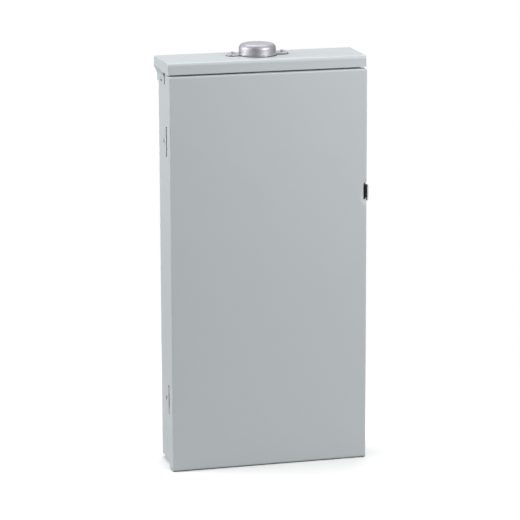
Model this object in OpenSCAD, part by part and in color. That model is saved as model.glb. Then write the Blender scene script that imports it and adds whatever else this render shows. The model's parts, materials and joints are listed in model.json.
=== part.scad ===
// Residential load center, rainproof outdoor type, with a side-hung door.
// Frame: +Z up, the front faces -Y, the wall is the plane y = 0, and the
// origin is the centre of the four wall-screw holes.

/* [Box] */
// Outer width of the box
box_w = 365; // [311:2:481]
// Height from the underside of the box to the top of the rain hood
box_h = 765; // [720:5:1000]
// Distance from the wall to the front flanges of the box
box_d = 100; // [94:1:140]
// Thickness of the enclosure sheet
sheet_t = 1.5; // [1.2:0.1:2]
// Outside radius of the folds in the sheet
fold_r = 3; // [2.5:0.1:4]
// Width of the flange folded in along each side of the front
lip_w = 22; // [20:1:30]

/* [Wall fixing] */
// Height of the pads that hold the box off the wall
pad_h = 6; // [4:0.5:10]
// Radius of the flat face of each pad
pad_r = 15; // [10:0.5:20]
// Radius of the wall-screw holes
wall_hole_r = 3.6; // [3:0.1:5]
// Spacing of the wall-screw holes across the box
wall_dx = 254; // [200:1:280]
// Spacing of the wall-screw holes up the box
wall_dz = 610; // [500:5:660]

/* [Rain hood] */
// How far each side of the hood stands out past the door
hood_over = 0.5; // [0.5:0.1:4]
// How far the hood's lip is set back from the face of the door
lip_setback = 8; // [5:0.5:12]
// Height of the hood's lip and sides
hood_h = 21.5; // [16:0.5:30]
// Outside radius of the fold along the front of the hood
hood_fold_r = 3.5; // [3:0.5:8]
// Height of the ear below the joggle, where it lies against the box
ear_h = 14; // [12:0.5:24]
// Length of each ear from the back of the hood
ear_l = 58; // [50:1:74]
// Distance from the wall to the screw in each ear
ear_screw_back = 40; // [20:1:48]
// Height of the joggle that steps each ear in to the box
joggle_h = 13; // [10:0.5:18]

/* [Conduit hub] */
// Sideways place of the hub opening
hub_x = -3; // [-20:1:20]
// Distance from the wall to the centre of the hub opening
hub_back = 48; // [44:1:54]
// Radius of the hub opening in the hood
hub_hole_r = 30; // [25:0.5:31]
// Radius of the domed cap over the opening
cap_r = 34.5; // [33:0.5:36]
// Height of the cap above its flat base
cap_h = 18.5; // [14:0.5:24]
// Radius of the rounded shoulder of the cap
cap_round = 9; // [5:0.5:11]
// Distance between the two screws that hold the closing plate
hub_screw_gap = 96; // [92:1:104]
// Thickness of the closing plate
plate_t = 2; // [1.5:0.1:3]
// Thickness of the gasket under the closing plate
gasket_t = 1.2; // [1:0.1:3]

/* [Door] */
// Gap between each side of the box and the door's flange
door_gap = 5; // [4.8:0.1:8]
// How far the face of the door stands in front of the box
door_stand = 20; // [19:0.5:26]
// Depth of the door's side and bottom flanges
door_flange = 22; // [21:1:30]
// Depth of the door's top flange
door_top_flange = 18; // [8:1:18]
// How far the door hangs below the box
door_drop = 7; // [5:0.5:12]
// Gap between the top of the door and the lip of the hood
door_top_gap = 2.7; // [1.5:0.1:4]

/* [Hinges] */
// Height of the upper hinge slot above the underside of the box
hinge_high = 612.5; // [560:0.5:640]
// Height of the lower hinge slot above the underside of the box
hinge_low = 119.5; // [90:0.5:160]
// Length of each hinge slot
hinge_slot_l = 56; // [50:1:70]
// Width of each hinge slot
hinge_slot_w = 10; // [6:0.5:12]
// Distance from the hinge pins back to the middle of the slots
hinge_set = 25; // [16:1:28]
// Radius of the hinge knuckles
knuckle_r = 2.2; // [2:0.1:2.2]
// Radius of the hinge pins
hinge_pin_r = 1.2; // [1:0.1:1.3]
// Thickness of the hinge leaves
leaf_t = 1; // [0.8:0.1:1.1]

/* [Latch] */
// Height of the middle of the latch above the underside of the box
latch_high = 510; // [420:1:560]
// Height of the slot in the face of the door
latch_slot_l = 31; // [26:1:40]
// Height of the pressed finger recess round the slot
recess_l = 58; // [44:1:70]
// Depth of the pressed finger recess
recess_d = 2.2; // [1:0.1:2.4]

/* [Breakers] */
// Number of breaker rows
rows = 10; // [6:1:10]
// Height of one breaker space
pitch = 25.4; // [25:0.1:31]
// Gap between neighbouring breakers
breaker_gap = 0.4; // [0.3:0.1:0.8]
// Depth of a breaker's case behind its shoulder
breaker_d = 50; // [46:1:52]
// Length of a branch breaker
breaker_l = 76; // [72:1:84]
// How far the first row starts above the middle of the wall holes
row_top = 64; // [40:1:80]
// How far the breaker noses stand out past the dead front
nose_out = 2; // [1:0.1:3]
// Angle through which a breaker handle is thrown
throw = 40; // [30:1:44]
// Width of the main breaker
main_w = 104; // [96:1:110]
// Height of the main breaker
main_h = 125; // [110:1:130]

/* [Terminals] */
// Radius of the wire bore in each main lug
lug_bore_r = 8.5; // [6:0.5:9]
// Sideways place of each neutral bar
neutral_x = 101; // [99:1:108]
// Spacing of the terminal screws along a bar
terminal_pitch = 13; // [11:0.5:16]

/* [Hidden] */

// Clearances and shared details
touch = 0.05;         // between faces that are clamped or spot-welded
slip = 0.3;           // between bodies that move past each other
screw_gap = 0.1;      // radial, round a screw's shank
pin_gap = 0.05;       // radial, round a hinge or handle pin
past = 1;             // how far a cutting shape runs past a face
round_fn = 64;
fold_steps = 4;

// Planes of the enclosure
z_bot = -box_h / 2;
z_top = box_h / 2;
back_out = -pad_h;
back_in = back_out - sheet_t;
box_front = -box_d;
lip_back = box_front + sheet_t;
side_in = box_w / 2 - sheet_t;
lip_in = box_w / 2 - lip_w;
wrap_top = z_top - sheet_t - slip;

// Door and hood
door_w = box_w + 2 * (door_gap + sheet_t);
door_front = box_front - door_stand;
door_in = door_front + sheet_t;
door_bot = z_bot - door_drop;
lip_bottom = z_top - hood_h;
door_top = lip_bottom - door_top_gap;
hood_w = door_w + 2 * hood_over;
hood_front = door_front + lip_setback;
hood_rear = -0.5;
joggle_top = lip_bottom + 3;
ear_top = joggle_top - joggle_h;
ear_bottom = ear_top - ear_h;
ear_screw_y = -ear_screw_back;
ear_screw_z = (ear_top + ear_bottom) / 2;
hub_y = -hub_back;

// Hinges: the pin stands in the gap between the box and the door's flange
pivot_x = -box_w / 2 - door_gap / 2;
pivot_y = door_front + door_flange + 5;
hinge_slot_y = pivot_y + hinge_set;
hinge_z = [z_bot + hinge_high, z_bot + hinge_low];
knuckle_l = 15;
door_knuckle_l = 2 * knuckle_l - 2;
rivet_y = hinge_slot_y + hinge_slot_w / 2 + 16;
rivet_r = 2.2;
rivet_head_r = 4;
rivet_head_h = 1.6;

// Latch: the lever turns on an upright pin behind the recess
latch_z = z_bot + latch_high;
latch_x = box_w / 2 - 6.5;
latch_y = door_front + 10;
latch_pin_r = 1.5;
latch_barrel_r = 4;
latch_barrel_l = 27;
latch_notch_x = door_w / 2 - 6.5;
latch_notch_y = door_front + 8.3;
tab_drop = 3.3;
recess_x = latch_x - 3;
recess_slope = 3;
strike_slot_x0 = latch_x - 4.2;
strike_slot_x1 = latch_x + 3.4;
strike_slot_l = 24;

// Knockouts
knock_r = 23.5;
knock_cut = 0.25;
knock_tab = 3;
knock_ratio = 0.6;
side_knock_y = back_in - 32.5;
side_knock_z = z_bot + 45;
bottom_knocks = [[-100, knock_r], [0, 31], [100, knock_r]];
bottom_knock_y = (back_out + box_front) / 2;
back_knock_x = 50;
back_knock_z = z_bot + 52;

// Dead front and its cover screws
cover_t = 1.2;
cover_edge = 4;
cover_half = lip_in + 7.5;
cover_screw_x = lip_in + 3.4;
cover_screw_r = 1.8;
header_bottom = lip_bottom - 16;
cover_top = header_bottom + 7.5;
cover_bot = z_bot + lip_w - 7.5;
cover_front = box_front - cover_t;
cover_screws_z = [cover_bot + 20, 0, cover_top - 20];

// Breakers hang between the rails and the centre stabs
shoulder_y = box_front + 8;
breaker_back = shoulder_y + breaker_d;
nose_y = cover_front - nose_out;
breaker_x0 = 3.5;
breaker_x1 = breaker_x0 + breaker_l;
nose_x0 = breaker_x0 + 14;
nose_x1 = breaker_x0 + 50;
handle_x = (nose_x0 + nose_x1) / 2;
handle_y = shoulder_y - 1;
handle_hub_r = 5;
handle_w = 8;
handle_t = 6;
handle_out = 9;
stab_slot_l = 11.5;
blade_t = 1.6;
blade_x = breaker_x0 + stab_slot_l - 1;
blade_d = 16;
rail_x = breaker_x1 - 6;
rail_notch = 5;
terminal_x = breaker_x1 - 8;
terminal_bore_r = 4.5;
// Side of the panel, first row and number of poles of each breaker
breakers = [[-1, 0, 2], [-1, 2, 1], [-1, 3, 1], [1, 0, 2], [1, 2, 1], [1, 3, 1]];
first_free_row = 4;

// Bus and its support
bus_t = 3;
bus_w = 16;
bus_x = 16;
bus_front = breaker_back + 5;
bus_back = bus_front + bus_t;
insulator_h = 14;
pan_t = 1.2;
pan_front = bus_back + insulator_h;
pan_back = pan_front + pan_t;
pan_half = 88;
pan_foot = 14;
row_bottom = row_top - rows * pitch;
main_z = row_top + 14 + main_h / 2;
main_top = main_z + main_h / 2;
neutral_z0 = row_bottom - 22;
pan_z0 = neutral_z0 + 2;
pan_z1 = main_top + 14;
pan_screw_z = [pan_z0 + 34, pan_z1 - 20];
pan_screw_x = pan_half + pan_foot / 2;
pan_screw_r = 2.4;

// Main breaker
main_nose_w = 62;
main_nose_h = 64;
main_handle_w = 26;
main_handle_hub_r = 8;
main_handle_out = 8;
main_throw = 30;
main_pivot_y = shoulder_y - 2;
lug_x = 27;
lug_w = 26;
lug_l = 26;
lug_y0 = shoulder_y + 10;
lug_d = 28;
lug_screw_r = 6;

// Neutral and ground bars
bar_w = 12;
bar_d = 10;
neutral_back = back_in - 22;
neutral_front = neutral_back - bar_d;
neutral_z1 = row_top - 4;
strap_t = 2;
strap_h = 14;
terminals = 17;
terminal_r = 3.2;
set_screw_r = 2.9;
set_screw_head_r = 3.8;
// The ground bar lies midway between the neutral strap and the back knockouts
ground_z = (neutral_z0 - strap_h + back_knock_z + knock_r) / 2;
ground_l = 120;
ground_back = back_in - 2;
ground_terminals = 7;
ground_screw_x = 52;

function arc_points(cx, cy, r, a0, a1) =
    [for (i = [0:fold_steps]) let (a = a0 + (a1 - a0) * i / fold_steps)
        [cx + r * cos(a), cy + r * sin(a)]];

// Rectangle with its four corners rounded
function round_rect(x0, y0, x1, y1, r) = concat(
    arc_points(x0 + r, y0 + r, r, 180, 270),
    arc_points(x1 - r, y0 + r, r, 270, 360),
    arc_points(x1 - r, y1 - r, r, 0, 90),
    arc_points(x0 + r, y1 - r, r, 90, 180));

// Rectangle with its two corners of lowest y rounded
function front_round_rect(x0, y0, x1, y1, r) = concat(
    arc_points(x0 + r, y0 + r, r, 180, 270),
    arc_points(x1 - r, y0 + r, r, 270, 360),
    [[x1, y1], [x0, y1]]);

function row_z(row) = row_top - (row + 0.5) * pitch;

module rod_y(r, h) {
    rotate([-90, 0, 0]) cylinder(r = r, h = h, $fn = round_fn);
}

module rod_x(r, h) {
    rotate([0, 90, 0]) cylinder(r = r, h = h, $fn = round_fn);
}

module rod_z(r, h) {
    cylinder(r = r, h = h, $fn = round_fn);
}

// Extrudes an outline drawn in y and z along x, from x0
module along_x(x0, length) {
    translate([x0, 0, 0]) rotate([90, 0, 90]) linear_extrude(length) children();
}

// Block between two corners
module block(low, high) {
    translate(low) cube(high - low);
}

// Screw whose shank runs towards +Y from its head's bearing face
module screw_y(shank_r, length, head_r, head_h, slot_w = 1.2) {
    difference() {
        union() {
            rod_y(shank_r, length);
            translate([0, -head_h, 0]) rod_y(head_r, head_h);
        }
        translate([-head_r - past, -head_h - past, -slot_w / 2])
            cube([2 * (head_r + past), past + head_h * 0.45, slot_w]);
    }
}

// Punched slug, in the plane z = 0 and up, held by tabs to its own rings
module knockout(r) {
    edge = r - knock_cut;
    reach = sqrt(r * r - knock_tab * knock_tab / 4) - touch;
    inner = r * knock_ratio;
    difference() {
        rod_z(edge, sheet_t);
        difference() {
            translate([0, 0, -past]) rod_z(inner + knock_cut, sheet_t + 2 * past);
            translate([0, 0, -2 * past]) rod_z(inner - knock_cut, sheet_t + 4 * past);
            translate([-r, -knock_tab / 2, -2 * past]) cube([2 * r, knock_tab, sheet_t + 4 * past]);
        }
    }
    translate([-knock_tab / 2, -reach, 0]) cube([knock_tab, reach - inner - past, sheet_t]);
    translate([-knock_tab / 2, inner + past, 0]) cube([knock_tab, reach - inner - past, sheet_t]);
}

module wall_pads() {
    for (x = [-wall_dx / 2, wall_dx / 2], z = [-wall_dz / 2, wall_dz / 2])
        translate([x, back_in, z]) rotate([-90, 0, 0])
            cylinder(r1 = pad_r + 5, r2 = pad_r, h = pad_h + sheet_t, $fn = round_fn);
}

module wall_pad_hollows() {
    for (x = [-wall_dx / 2, wall_dx / 2], z = [-wall_dz / 2, wall_dz / 2])
        translate([x, back_in - past, z]) rotate([-90, 0, 0]) {
            cylinder(r1 = pad_r + 5 - sheet_t + past * 5 / (pad_h + sheet_t),
                r2 = pad_r - sheet_t + 5 * sheet_t / (pad_h + sheet_t),
                h = pad_h + past, $fn = round_fn);
            cylinder(r = wall_hole_r, h = pad_h + sheet_t + 2 * past, $fn = round_fn);
        }
}

module box_outline() {
    difference() {
        polygon(round_rect(-box_w / 2, box_front, box_w / 2, back_out, fold_r));
        polygon(round_rect(-side_in, lip_back, side_in, back_in, fold_r - sheet_t));
        translate([-lip_in, box_front - past]) square([2 * lip_in, sheet_t + 2 * past]);
    }
}

// Back, sides and front flanges, folded from one sheet
module box_wrapper() {
    color("silver") difference() {
        union() {
            translate([0, 0, z_bot]) linear_extrude(wrap_top - z_bot) box_outline();
            wall_pads();
        }
        wall_pad_hollows();
        for (side = [-1, 1])
            translate([side * box_w / 2 - 3 * past, side_knock_y, side_knock_z]) rod_x(knock_r, 6 * past);
        for (x = [-back_knock_x, back_knock_x])
            translate([x, back_in - past, back_knock_z]) rod_y(knock_r, sheet_t + 2 * past);
        for (z = hinge_z) {
            translate([-box_w / 2 - past, hinge_slot_y - hinge_slot_w / 2, z - hinge_slot_l / 2])
                cube([sheet_t + 2 * past, hinge_slot_w, hinge_slot_l]);
            translate([-box_w / 2 - past, rivet_y, z]) rod_x(rivet_r + screw_gap, sheet_t + 2 * past);
        }
        block([strike_slot_x0, box_front - past, latch_z - strike_slot_l / 2],
            [strike_slot_x1, lip_back + past, latch_z + strike_slot_l / 2]);
        for (side = [-1, 1], z = cover_screws_z)
            translate([side * cover_screw_x, box_front - past, z])
                rod_y(cover_screw_r + screw_gap, sheet_t + 2 * past);
        for (side = [-1, 1])
            translate([side * box_w / 2 - 3 * past, ear_screw_y, ear_screw_z])
                rod_x(pan_screw_r + screw_gap, 6 * past);
        for (side = [-1, 1], z = pan_screw_z)
            translate([side * pan_screw_x, back_in - past, z])
                rod_y(pan_screw_r + screw_gap, sheet_t + 2 * past);
        for (side = [-1, 1])
            translate([side * ground_screw_x, back_in - past, ground_z])
                rod_y(pan_screw_r + screw_gap, sheet_t + 2 * past);
        translate([neutral_x, back_in - past, neutral_z0 - strap_h / 2])
            rod_y(pan_screw_r + screw_gap, sheet_t + 2 * past);
    }
}

// Bottom of the box, a tray that sits between the folds of the wrapper
module bottom_endwall() {
    x1 = side_in - touch;
    y0 = lip_back + touch;
    y1 = back_in - touch;
    color("silver") difference() {
        translate([0, 0, z_bot]) linear_extrude(lip_w) polygon(round_rect(-x1, y0, x1, y1, fold_r));
        block([-x1 + sheet_t, y0 + sheet_t, z_bot + sheet_t],
            [x1 - sheet_t, y1 - sheet_t, z_bot + lip_w + past]);
        block([-x1 - past, y0 + sheet_t, z_bot + lip_w / 2], [x1 + past, y1 + past, z_bot + lip_w + past]);
        for (knock = bottom_knocks)
            translate([knock[0], bottom_knock_y, z_bot - past]) rod_z(knock[1], sheet_t + 2 * past);
    }
}

// Flange that closes the top of the front opening, under the hood
module top_header() {
    x1 = side_in - fold_r;
    y0 = lip_back + touch;
    color("silver") {
        block([-x1, y0, header_bottom], [x1, y0 + sheet_t, wrap_top]);
        block([-x1, y0, header_bottom], [x1, y0 + 6 * sheet_t, header_bottom + sheet_t]);
    }
}

function hood_outline(inset, drop) = concat(
    arc_points(hood_front + hood_fold_r, z_top - hood_fold_r, hood_fold_r - inset, 180, 90),
    arc_points(hood_rear - fold_r, z_top - fold_r, fold_r - inset, 90, 0),
    [[hood_rear - inset, drop], [hood_front + inset, drop]]);

module hub_outline() {
    circle(r = cap_r + 2.5, $fn = round_fn);
    translate([-hub_screw_gap / 2, -9]) square([hub_screw_gap, 18]);
    for (side = [-1, 1]) translate([side * (hub_screw_gap / 2), 0]) circle(r = 11.5, $fn = round_fn);
}

// Sloping place for the hub parts, at a height above the hood
module at_hub(height) {
    translate([hub_x, hub_y, z_top + height]) children();
}

// Section of an ear: down the hood's side, in over the joggle, down the box
module ear_section() {
    outer = hood_w / 2;
    inner = box_w / 2 + touch;
    polygon([[outer, joggle_top + sheet_t], [outer, joggle_top], [inner + sheet_t, ear_top],
        [inner + sheet_t, ear_bottom],
        [inner, ear_bottom], [inner, ear_top + sheet_t / 2], [outer - sheet_t, joggle_top + sheet_t / 2],
        [outer - sheet_t, joggle_top + sheet_t]]);
}

// Top endwall, whose lip and sides overhang the door
module rain_hood() {
    color("silver") difference() {
        union() {
            difference() {
                along_x(-hood_w / 2, hood_w) polygon(hood_outline(0, lip_bottom));
                along_x(-hood_w / 2 + sheet_t, hood_w - 2 * sheet_t)
                    polygon(hood_outline(sheet_t, lip_bottom - past));
                for (side = [-1, 1]) scale([side, 1, 1])
                    block([hood_w / 2 - sheet_t - past, hood_rear - ear_l, lip_bottom - past],
                        [hood_w / 2 + past, hood_rear + past, joggle_top]);
            }
            for (side = [-1, 1]) scale([side, 1, 1])
                translate([0, hood_rear, 0]) rotate([90, 0, 0]) linear_extrude(ear_l) ear_section();
        }
        at_hub(-sheet_t - past) rod_z(hub_hole_r, sheet_t + 2 * past);
        for (side = [-1, 1])
            at_hub(-sheet_t - past) translate([side * hub_screw_gap / 2, 0, 0])
                rod_z(pan_screw_r + screw_gap, sheet_t + 2 * past);
        for (side = [-1, 1])
            translate([side * box_w / 2 - 3 * past, ear_screw_y, ear_screw_z])
                rod_x(pan_screw_r + screw_gap, 6 * past);
    }
}

module side_knockouts() {
    color("silver") for (side = [-1, 1])
        translate([side * (side_in + sheet_t / 2) - sheet_t / 2, side_knock_y, side_knock_z])
            rotate([0, 90, 0]) knockout(knock_r);
}

module bottom_knockouts() {
    color("silver") for (knock = bottom_knocks)
        translate([knock[0], bottom_knock_y, z_bot]) knockout(knock[1]);
}

module back_knockouts() {
    color("silver") for (x = [-back_knock_x, back_knock_x])
        translate([x, back_in, back_knock_z]) rotate([-90, 0, 0]) knockout(knock_r);
}

module hub_gasket() {
    color("dimgray") at_hub(0) difference() {
        linear_extrude(gasket_t) hub_outline();
        translate([0, 0, -past]) rod_z(hub_hole_r, gasket_t + 2 * past);
        for (side = [-1, 1]) translate([side * hub_screw_gap / 2, 0, -past])
            rod_z(pan_screw_r + screw_gap, gasket_t + 2 * past);
    }
}

// Half section of the cap, round edge included
module cap_section(inset) {
    r = cap_r - inset;
    h = cap_h - inset;
    shoulder = arc_points(r - cap_round + inset, h - cap_round + inset, cap_round - inset, 0, 90);
    polygon(concat([[0, 0], [r, 0]], shoulder, [[0, h]]));
}

// Closing plate with a domed cap, screwed over the hub opening
module hub_plate() {
    color("lightgray") at_hub(gasket_t) difference() {
        union() {
            linear_extrude(plate_t) hub_outline();
            translate([0, 0, plate_t]) rotate_extrude($fn = round_fn) cap_section(0);
        }
        translate([0, 0, -plate_t]) rotate_extrude($fn = round_fn) cap_section(plate_t);
        translate([0, 0, plate_t]) rotate_extrude($fn = round_fn) cap_section(plate_t);
        for (side = [-1, 1]) translate([side * hub_screw_gap / 2, 0, -past])
            rod_z(pan_screw_r + screw_gap, plate_t + 2 * past);
    }
}

module hub_screws() {
    color("gainsboro") for (side = [-1, 1])
        at_hub(gasket_t + plate_t) translate([side * hub_screw_gap / 2, 0, 0])
            rotate([-90, 0, 0]) screw_y(pan_screw_r, 12, 5.5, 4);
}

module ear_screws() {
    color("gainsboro") for (side = [-1, 1])
        translate([side * (box_w / 2 + touch + sheet_t), ear_screw_y, ear_screw_z])
            rotate([0, 0, side * 90]) screw_y(pan_screw_r, 10, 4.5, 2.2);
}

// Fixed half of each hinge: a leaf inside the box, whose two arms pass the slot
// and run forward along the outside of the box to the pin
module hinge_brackets() {
    leaf_x = -side_in + touch;
    arm_x = -box_w / 2 - touch - leaf_t;
    arm_back = hinge_slot_y + leaf_t / 2;
    arm_z = door_knuckle_l / 2 + slip;
    arm_l = knuckle_l - 4;
    color("gainsboro") for (z = hinge_z) translate([0, 0, z]) difference() {
        union() {
            block([leaf_x, hinge_slot_y + hinge_slot_w / 2 - 2.5, -hinge_slot_l / 2],
                [leaf_x + leaf_t, rivet_y + 7, hinge_slot_l / 2]);
            for (end = [-1, 1]) scale([1, 1, end]) {
                block([pivot_x, pivot_y, arm_z], [arm_x + leaf_t, pivot_y + leaf_t, arm_z + arm_l]);
                block([arm_x, pivot_y, arm_z], [arm_x + leaf_t, arm_back, arm_z + arm_l]);
                block([arm_x, arm_back - leaf_t, arm_z], [leaf_x + leaf_t, arm_back, arm_z + arm_l]);
                block([leaf_x, arm_back - leaf_t, arm_z], [leaf_x + leaf_t, rivet_y, arm_z + arm_l]);
                translate([pivot_x, pivot_y, arm_z]) rod_z(knuckle_r, arm_l);
            }
        }
        translate([pivot_x, pivot_y, -hinge_slot_l]) rod_z(hinge_pin_r + pin_gap, 2 * hinge_slot_l);
        translate([leaf_x - past, rivet_y, 0]) rod_x(rivet_r + screw_gap, leaf_t + 2 * past);
    }
}

module hinge_rivets() {
    color("silver") for (z = hinge_z) translate([-box_w / 2, rivet_y, z]) {
        translate([-rivet_head_h, 0, 0]) rod_x(rivet_head_r, rivet_head_h);
        rod_x(rivet_r, sheet_t + touch + leaf_t + rivet_head_h);
        translate([sheet_t + touch + leaf_t, 0, 0]) rod_x(rivet_head_r - past, rivet_head_h);
    }
}

module hinge_pins() {
    color("gainsboro") for (z = hinge_z)
        translate([pivot_x, pivot_y, z - hinge_slot_l / 2 + 2]) rod_z(hinge_pin_r, hinge_slot_l - 4);
}

// Pressed recess for a finger, open at the door's edge
module recess_shape(front, depth) {
    x1 = door_w / 2 + past;
    half = recess_l / 2;
    intersection() {
        along_x(recess_x - recess_slope, x1 - recess_x + recess_slope) polygon([
            [front - past, latch_z - half - recess_slope], [front, latch_z - half],
            [front + depth, latch_z - half + recess_slope], [front + depth, latch_z + half - recess_slope],
            [front, latch_z + half], [front - past, latch_z + half + recess_slope]]);
        translate([0, 0, latch_z - recess_l]) linear_extrude(2 * recess_l) polygon([
            [recess_x - recess_slope, front - past], [recess_x, front],
            [recess_x + recess_slope, front + depth], [x1, front + depth], [x1, front - past]]);
    }
}

// Door pan with side, top and bottom flanges
module door_panel() {
    color("lightsteelblue") difference() {
        union() {
            difference() {
                translate([0, 0, door_bot]) linear_extrude(door_top - door_bot)
                    polygon(front_round_rect(-door_w / 2, door_front, door_w / 2, door_front + door_flange, fold_r));
                translate([0, 0, door_bot + sheet_t]) linear_extrude(door_top - door_bot - 2 * sheet_t)
                    polygon(front_round_rect(-door_w / 2 + sheet_t, door_in, door_w / 2 - sheet_t,
                        door_front + door_flange + past, fold_r - sheet_t));
                block([-door_w / 2 + sheet_t, door_front + door_top_flange, door_top - 2 * sheet_t],
                    [door_w / 2 - sheet_t, door_front + door_flange + past, door_top + past]);
            }
            intersection() {
                recess_shape(door_in, recess_d);
                block([0, door_in, door_bot], [door_w / 2, door_in + 2 * recess_d, door_top]);
            }
        }
        recess_shape(door_front, recess_d);
        block([latch_notch_x, door_front - past, latch_z - latch_slot_l / 2],
            [door_w / 2 + past, latch_notch_y, latch_z + latch_slot_l / 2]);
        block([door_w / 2 - sheet_t - slip, door_front - past, latch_z - latch_slot_l / 2 - tab_drop - past],
            [door_w / 2 + past, latch_notch_y, latch_z]);
    }
}

// Moving half of each hinge, fixed inside the door's flange
module door_hinge_leaves() {
    leaf_x = -door_w / 2 + sheet_t + touch;
    color("gainsboro") for (z = hinge_z) translate([0, 0, z - door_knuckle_l / 2]) difference() {
        union() {
            block([leaf_x, door_front + 8, 0], [leaf_x + leaf_t, pivot_y, door_knuckle_l]);
            block([leaf_x, pivot_y - leaf_t, 0], [pivot_x, pivot_y, door_knuckle_l]);
            translate([pivot_x, pivot_y, 0]) rod_z(knuckle_r, door_knuckle_l);
        }
        translate([pivot_x, pivot_y, -past]) rod_z(hinge_pin_r + pin_gap, door_knuckle_l + 2 * past);
    }
}

module directory_card() {
    color("white") block([-105, door_in, -190], [105, door_in + 0.4, 120]);
}

// Two ears on a foot, fixed behind the face of the door
module latch_bracket() {
    foot_x = recess_x - recess_slope - 2;
    ear = latch_barrel_l / 2 + slip;
    color("gainsboro") difference() {
        union() {
            block([foot_x - 18, door_in, latch_z - ear - 8], [foot_x, door_in + pan_t, latch_z + ear + 8]);
            for (end = [-1, 1]) translate([0, 0, latch_z + end * (ear + pan_t / 2) - pan_t / 2]) {
                translate([latch_x, latch_y, 0]) rod_z(latch_barrel_r, pan_t);
                block([foot_x - 12, door_in, 0], [foot_x, latch_y + latch_barrel_r, pan_t]);
                block([foot_x - past, latch_y - latch_barrel_r, 0],
                    [latch_x, latch_y + latch_barrel_r, pan_t]);
            }
        }
        translate([latch_x, latch_y, latch_z - ear - 2 * pan_t])
            rod_z(latch_pin_r + screw_gap, 2 * ear + 4 * pan_t);
    }
}

module latch_pin() {
    half = latch_barrel_l / 2 + slip + pan_t + past;
    color("silver") translate([latch_x, latch_y, latch_z - half]) rod_z(latch_pin_r, 2 * half);
}

// Lever with an upright pull tab at the door's edge and a catch arm behind
module latch_lever() {
    tab_t = 2;
    tab_x0 = door_w / 2 + slip;
    tab_front = door_front - 1;
    web_back = latch_notch_y - 0.5;
    web_front = web_back - 1.8;
    web_top = latch_slot_l / 2 - 3.5;
    web_bottom = -latch_barrel_l / 2;
    color("whitesmoke") difference() {
        union() {
            translate([latch_x, latch_y, latch_z - latch_barrel_l / 2]) rod_z(latch_barrel_r, latch_barrel_l);
            block([latch_x, web_front, latch_z + web_bottom], [tab_x0 + tab_t, web_back, latch_z + web_top]);
            block([tab_x0, tab_front, latch_z - latch_slot_l / 2 - tab_drop],
                [tab_x0 + tab_t, web_back, latch_z + latch_slot_l / 2 - tab_drop]);
            block([latch_x - 2.5, latch_y + 2, latch_z - 10], [latch_x + 0.5, box_front + 4, latch_z + 10]);
        }
        translate([latch_x, latch_y, latch_z - latch_barrel_l])
            rod_z(latch_pin_r + pin_gap, 2 * latch_barrel_l);
    }
}

// Leaf spring whose free end stands against the lever's barrel
module latch_spring() {
    foot_x = recess_x - recess_slope - 2;
    root_y = door_in + pan_t;
    color("silver") translate([0, 0, latch_z - 6]) linear_extrude(12) polygon([
        [foot_x - 16, root_y], [foot_x - 6, root_y], [latch_x - latch_barrel_r - 2, latch_y - 1],
        [latch_x - latch_barrel_r - 0.4, latch_y], [latch_x - latch_barrel_r - 0.4, latch_y + 0.6],
        [latch_x - latch_barrel_r - 2.4, latch_y], [foot_x - 6.5, root_y + 0.6],
            [foot_x - 16, root_y + 0.6]]);
}

// Formed pan with the rails that the breakers hook on
module interior_pan() {
    color("gainsboro") difference() {
        union() {
            block([-pan_half, pan_front, pan_z0], [pan_half, pan_back, pan_z1]);
            for (side = [-1, 1]) scale([side, 1, 1]) {
                block([pan_half - pan_t, pan_front, pan_z0], [pan_half, back_in - touch, pan_z1]);
                block([pan_half - pan_t, back_in - touch - pan_t, pan_z0],
                    [pan_half + pan_foot, back_in - touch, pan_z1]);
                block([rail_x - pan_t / 2, breaker_back - rail_notch + 1, row_bottom],
                    [rail_x + pan_t / 2, pan_back, row_top]);
            }
        }
        for (side = [-1, 1], z = pan_screw_z)
            translate([side * pan_screw_x, back_in - 3 * pan_t, z]) rod_y(pan_screw_r + screw_gap, 6 * pan_t);
    }
}

module pan_screws() {
    color("gainsboro") for (side = [-1, 1], z = pan_screw_z)
        translate([side * pan_screw_x, back_in - touch - pan_t, z]) screw_y(pan_screw_r, 5, 5, 2.4);
}

// Moulded support that holds both bus bars off the pan
module bus_insulator() {
    half = bus_x + bus_w / 2 + 5;
    color("dimgray") difference() {
        block([-half, bus_back, row_bottom - 6], [half, pan_front, main_z - 20]);
        for (row = [0:rows - 1])
            block([-3, bus_back - past, row_z(row) - 8], [3, pan_front - 3, row_z(row) + 8]);
    }
    color("dimgray") for (side = [-1, 1])
        block([side * (half - 2) - 2, bus_front, row_bottom - 6], [side * (half - 2) + 2, bus_back, row_top]);
}

// Flat bar on one side, with a stab on every second row
module bus_bar(side, first_row) {
    color("lightgray") scale([side, 1, 1]) {
        block([bus_x - bus_w / 2, bus_front, row_bottom], [bus_x + bus_w / 2, bus_back, main_z - 24]);
        block([bus_x - bus_w / 2, breaker_back - 3, main_z - 44],
            [bus_x + bus_w / 2, bus_front, main_z - 24]);
        for (row = [first_row:2:rows - 1]) translate([0, 0, row_z(row)]) {
            block([-4, bus_front, -6], [bus_x, bus_back, 6]);
            block([-4, bus_front - 3, -blade_t / 2], [blade_x, bus_front, blade_t / 2]);
            block([-blade_x, breaker_back - blade_d, -blade_t / 2], [blade_x, bus_front - 3, blade_t / 2]);
        }
    }
}

module bus_bar_a() {
    bus_bar(-1, 0);
}

module bus_bar_b() {
    bus_bar(1, 1);
}

function terminal_z(i) = neutral_z0 + 24 + i * terminal_pitch;

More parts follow.
